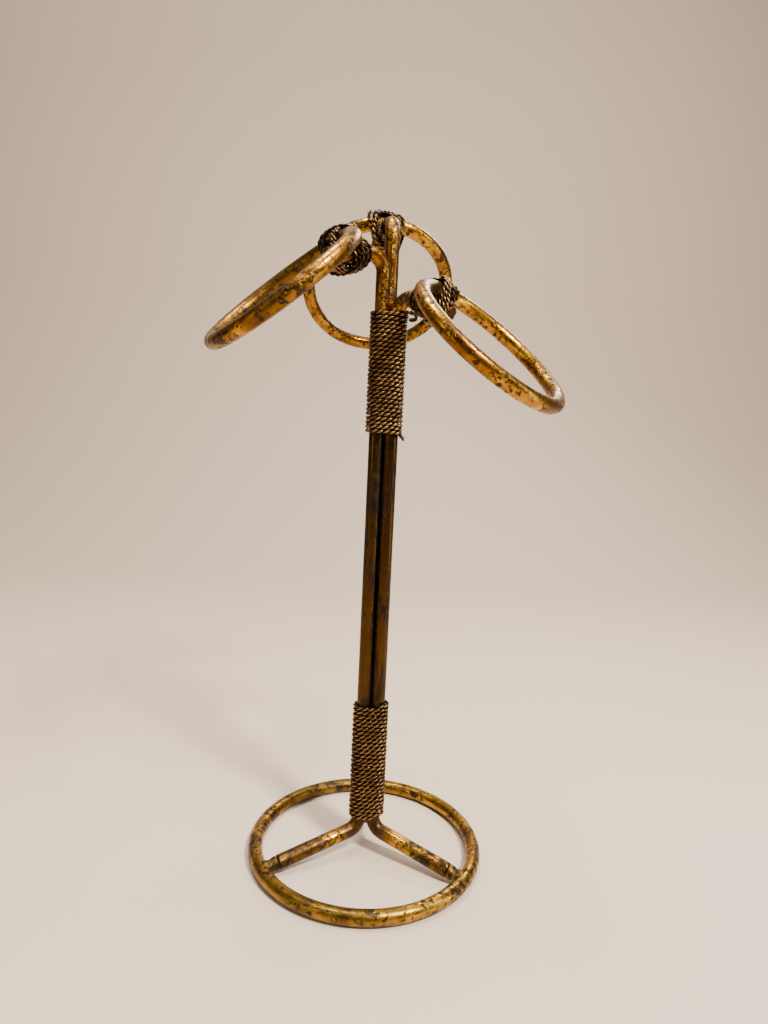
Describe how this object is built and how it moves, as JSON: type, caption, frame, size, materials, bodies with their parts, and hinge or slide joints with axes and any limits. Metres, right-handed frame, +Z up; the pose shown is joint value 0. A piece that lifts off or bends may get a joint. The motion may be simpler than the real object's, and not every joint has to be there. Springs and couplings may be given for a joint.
{
  "type": "three-ring rod stand",
  "caption": "Gilt metal counter-top stand: three rods bound with twisted wire rise from a base ring and each carries a tilted towel ring.",
  "frame": {"origin": "on the floor at the centre of the base ring", "axes": "+Z up along the stem, +X to the right and +Y to the back seen from the front"},
  "size_m": [0.2057, 0.1996, 0.4169],
  "materials": {
    "gilt_base": "antique gilt over steel, worn and darkened",
    "gilt_rod": "antique gilt over steel, browned on the stem",
    "gilt_ring": "antique gilt over steel, speckled with dark patina",
    "weld": "dull gilt over rough weld",
    "twisted_wire": "dark bronze with gold on the crests"
  },
  "bodies": {
    "root": {"base_ring": "gilt_base", "rod_left": "gilt_rod", "rod_right": "gilt_rod", "rod_back": "gilt_rod", "ring_left": "gilt_ring", "ring_right": "gilt_ring", "ring_back": "gilt_ring", "spoke_weld_left": "weld", "spoke_weld_right": "weld", "spoke_weld_back": "weld", "ring_braze_left": "weld", "ring_braze_right": "weld", "ring_braze_back": "weld", "arm_coil_left": "twisted_wire", "arm_coil_right": "twisted_wire", "arm_coil_back": "twisted_wire", "lashing_left": "twisted_wire", "lashing_right": "twisted_wire", "lashing_back": "twisted_wire", "upper_wrap": "twisted_wire", "lower_wrap": "twisted_wire"}
  },
  "joints": []
}
